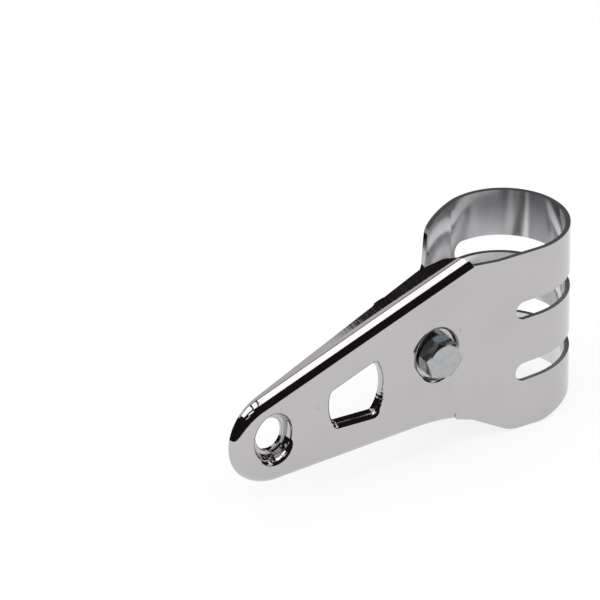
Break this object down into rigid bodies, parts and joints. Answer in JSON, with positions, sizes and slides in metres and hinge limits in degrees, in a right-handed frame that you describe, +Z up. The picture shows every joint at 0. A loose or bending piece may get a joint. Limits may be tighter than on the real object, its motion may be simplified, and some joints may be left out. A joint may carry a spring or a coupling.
{
  "type": "headlight mounting bracket",
  "caption": "Chromed pressed-steel fork-clamp headlight bracket: tapering ear with rolled rim, window and dimpled oval holes, slotted clamp band and lug closed by a hex bolt.",
  "frame": {"origin": "on the clamp's axis, level with the lowest edge of the band", "axes": "+Z up along the fork leg; the ear points to -X; the ear's outer face looks to -Y"},
  "size_m": [0.1146, 0.0404, 0.0567],
  "materials": {
    "chromed_sheet": "polished chrome plate over pressed steel sheet",
    "zinc_hardware": "bright zinc plate with a faint blue cast"
  },
  "bodies": {
    "root": {"bracket_body": "chromed_sheet", "clamp_bolt": "zinc_hardware", "clamp_washer": "zinc_hardware", "clamp_nut": "zinc_hardware"}
  },
  "joints": []
}
